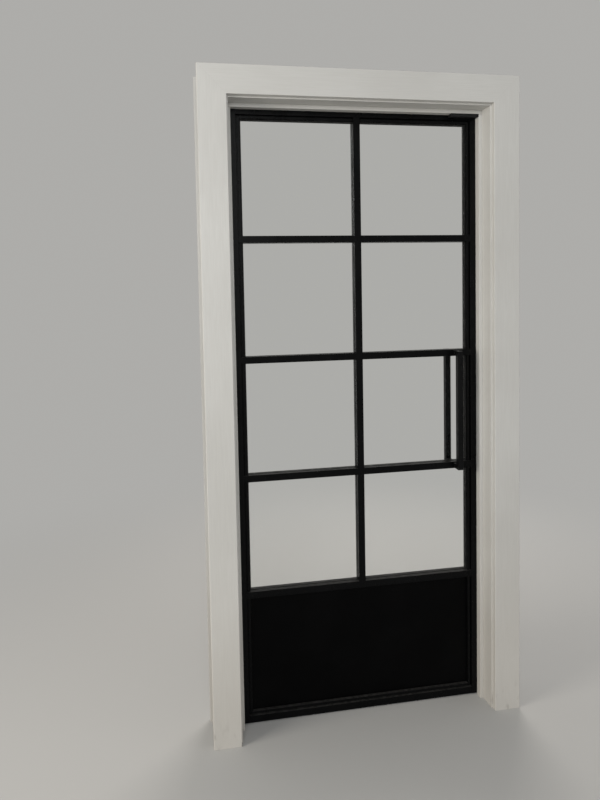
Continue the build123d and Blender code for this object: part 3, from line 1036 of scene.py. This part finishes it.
@dataclass(frozen=True)
class MagneticCatch:
    """The catch under the head stop, with its pole plates and screws, and the strike opposite."""

    screw: SocketScrew = SocketScrew(
        head_radius=3.2 * MILLIMETRE,
        foot_radius=1.7 * MILLIMETRE,
        head_depth=1.6 * MILLIMETRE,
        socket_radius=1.2 * MILLIMETRE,
        socket_depth=1.1 * MILLIMETRE,
    )
    catch_grey: Colour = (0.0075, 0.0075, 0.008)
    arris: float = 0.4 * MILLIMETRE
    catch_screw_inset: float = 12.0 * MILLIMETRE
    strike_screw_inset: float = 9.0 * MILLIMETRE
    screw_proud: float = 0.1 * MILLIMETRE
    pole_size: Place = (58.0 * MILLIMETRE, 0.6 * MILLIMETRE, 1.2 * MILLIMETRE)
    pole_spacing: float = 3.0 * MILLIMETRE
    pole_proud: float = 0.15 * MILLIMETRE
    pole_round: float = 0.1 * MILLIMETRE

    def build(self, coat: bpy.types.Material, steel: bpy.types.Material) -> None:
        """Dress and ease the catch and strike, and add their screws and the magnet's pole plates.

        Args:
            coat: The finish of the strike and the screws.
            steel: The finish of the pole plates.
        """
        dress(["catch_body"], MouldedPlastic("black_plastic", self.catch_grey).build())
        dress(["strike_plate"], coat)
        ease(["catch_body", "strike_plate"], self.arris, segments=2)
        self.add_screws("catch_body", self.catch_screw_inset, Vector((0.0, 0.0, -1.0)), Body.FRAME, coat)
        self.add_screws("strike_plate", self.strike_screw_inset, Vector((0.0, -1.0, 0.0)), Body.LEAF, coat)
        self.build_poles(steel)
        log.info("built the magnetic catch")

    def add_screws(
        self,
        node: str,
        inset: float,
        outward: Vector,
        body: Body,
        coat: bpy.types.Material,
    ) -> None:
        """Add a screw near each end of a node.

        Args:
            node: The node that the screws hold.
            inset: How far from its ends they stand.
            outward: The direction their heads face.
            body: The body that carries them.
            coat: Their finish.
        """
        low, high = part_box(node)
        middle = middle_of(node)
        surface = middle + outward * abs((high - low).dot(outward) / 2)
        shape = bmesh.new()
        for end in (low.x + inset, high.x - inset):
            place = Vector((end, surface.y, surface.z)) + outward * self.screw_proud
            self.screw.add_to(shape, place, outward)
        finished_piece(f"{node}_screws", shape, coat, body)

    def build_poles(self, steel: bpy.types.Material) -> None:
        """Build the two steel pole plates in the catch's face.

        Args:
            steel: Their finish.
        """
        middle = middle_of("catch_body")
        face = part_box("catch_body")[1].y + self.pole_proud - self.pole_size[1] / 2
        shape = bmesh.new()
        for side in (-1, 1):
            place = Vector((middle.x, face, middle.z + side * self.pole_spacing / 2))
            where = Matrix.Translation(place) @ Matrix.Diagonal((*self.pole_size, 1.0))
            corners = bmesh.ops.create_cube(shape, size=1.0, matrix=where)["verts"]
            round_edges(shape, edges_between(corners), self.pole_round)
        finished_piece("catch_pole_plates", shape, steel, Body.FRAME)


@dataclass(frozen=True)
class Lamp:
    """A soft square lamp, aimed at the middle of the door."""

    name: str
    place: Place
    size: float
    watts: float
    colour: Colour = (1.0, 1.0, 1.0)
    gives_sheen: bool = False
    aim: Place = (0.0, 0.0, 1.1)

    def build(self) -> None:
        """Add the lamp, which isn't seen itself, and shows as sheen only where that is wanted."""
        light = bpy.data.lights.new(self.name, "AREA")
        light.size = self.size
        light.energy = self.watts
        light.color = self.colour
        lamp = bpy.data.objects.new(self.name, light)
        lamp.location = self.place
        lamp.rotation_euler = (Vector(self.aim) - Vector(self.place)).to_track_quat("-Z", "Y").to_euler()
        lamp.visible_camera = False
        lamp.visible_glossy = self.gives_sheen
        lamp.visible_transmission = False
        bpy.context.scene.collection.objects.link(lamp)


@dataclass(frozen=True)
class Studio:
    """A plain pale studio: floor, soft lamps, an even sky and the camera."""

    backdrop: Colour = (0.42, 0.415, 0.40)
    floor_colour: Colour = (0.485, 0.482, 0.472)
    floor_radius: float = 40.0
    floor_sides: int = 96
    floor_drop: float = 0.3 * MILLIMETRE
    fade: Span = (0.9, 3.0)
    sky_colour: Colour = (1.0, 1.0, 1.0)
    sky_strength: float = 0.34
    lamps: tuple[Lamp, ...] = (
        Lamp("key_lamp", (-1.3, -4.6, 2.6), 2.2, 92.0, (0.98, 1.0, 1.0), gives_sheen=True),
        Lamp("side_lamp", (-3.8, -1.3, 1.7), 1.6, 86.0, (1.0, 0.94, 0.84)),
        Lamp("fill_lamp", (4.6, -2.6, 1.5), 2.2, 24.0, (1.0, 0.96, 0.91)),
        Lamp("room_lamp", (1.4, 3.0, 2.6), 2.4, 84.0, (1.0, 0.95, 0.89)),
    )
    camera_place: Place = (-0.6305, -2.0402, 1.4616)
    camera_turn: Place = (86.907, 1.172, -9.690)
    lens: float = 28.178
    shift: Span = (0.0284, -0.0894)
    sight: float = 200.0

    def build(self) -> None:
        """Set up the floor, the sky, the lamps and the camera."""
        self.build_floor()
        self.build_sky()
        for lamp in self.lamps:
            lamp.build()
        self.build_camera()
        bpy.context.scene.view_settings.view_transform = "Standard"
        log.info("set up the studio")

    def build_floor(self) -> None:
        """Make the floor, which keeps the shadow near the door and fades to the backdrop's colour."""
        shape = bmesh.new()
        bmesh.ops.create_circle(shape, cap_ends=True, segments=self.floor_sides, radius=self.floor_radius)
        mesh = bpy.data.meshes.new("studio_floor")
        shape.to_mesh(mesh)
        shape.free()
        floor = bpy.data.objects.new("studio_floor", mesh)
        floor.location.z = -self.floor_drop
        bpy.context.scene.collection.objects.link(floor)

        graph = Graph(bpy.data.materials.new("studio_floor"))
        squares = [graph.maths("MULTIPLY", graph.axis(name), graph.axis(name)) for name in ("X", "Y")]
        away = graph.maths("SQRT", graph.maths("ADD", *squares))
        share = graph.maths("MULTIPLY", graph.graded(away, self.fade), graph.seen())
        matt = graph.add("ShaderNodeBsdfDiffuse", {"Color": (*self.floor_colour, 1.0)})
        glow = graph.add("ShaderNodeEmission", {"Color": (*self.backdrop, 1.0), "Strength": 1.0})
        graph.show_mixed(share, matt.outputs[0], glow.outputs[0])
        mesh.materials.append(graph.owner)

    def build_sky(self) -> None:
        """Light the scene evenly, and show the backdrop's colour where the sky is seen."""
        world = bpy.data.worlds.new("studio_sky")
        bpy.context.scene.world = world
        graph = Graph(world, "ShaderNodeOutputWorld")
        even = {"Color": (*self.sky_colour, 1.0), "Strength": self.sky_strength}
        light = graph.add("ShaderNodeBackground", even)
        shown = graph.add("ShaderNodeBackground", {"Color": (*self.backdrop, 1.0)})
        graph.show_mixed(graph.seen(), light.outputs[0], shown.outputs[0])

    def build_camera(self) -> None:
        """Place the camera and make it the scene's."""
        data = bpy.data.cameras.new("camera")
        data.lens = self.lens
        data.shift_x, data.shift_y = self.shift
        data.clip_end = self.sight
        camera = bpy.data.objects.new("camera", data)
        camera.location = self.camera_place
        camera.rotation_euler = Euler([radians(angle) for angle in self.camera_turn], "XYZ")
        bpy.context.scene.collection.objects.link(camera)
        bpy.context.scene.camera = camera


def main() -> None:
    """Build and dress every sub-assembly in order."""
    logging.basicConfig(level=logging.INFO, format="%(message)s")
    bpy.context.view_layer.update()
    steel = PlainSteel().build()
    hinge_coat = PowderCoat("black_hinge", (0.0062, 0.0062, 0.0065), roughness=0.34, shine=0.24).build()
    TimberFrame().build()
    SteelLeaf().build()
    Glazing().build()
    PullHandles().build(steel)
    for level in LEVELS:
        ButtHinge(level).build(hinge_coat, steel)
    MagneticCatch().build(hinge_coat, steel)
    Studio().build()


if __name__ == "__main__":
    main()
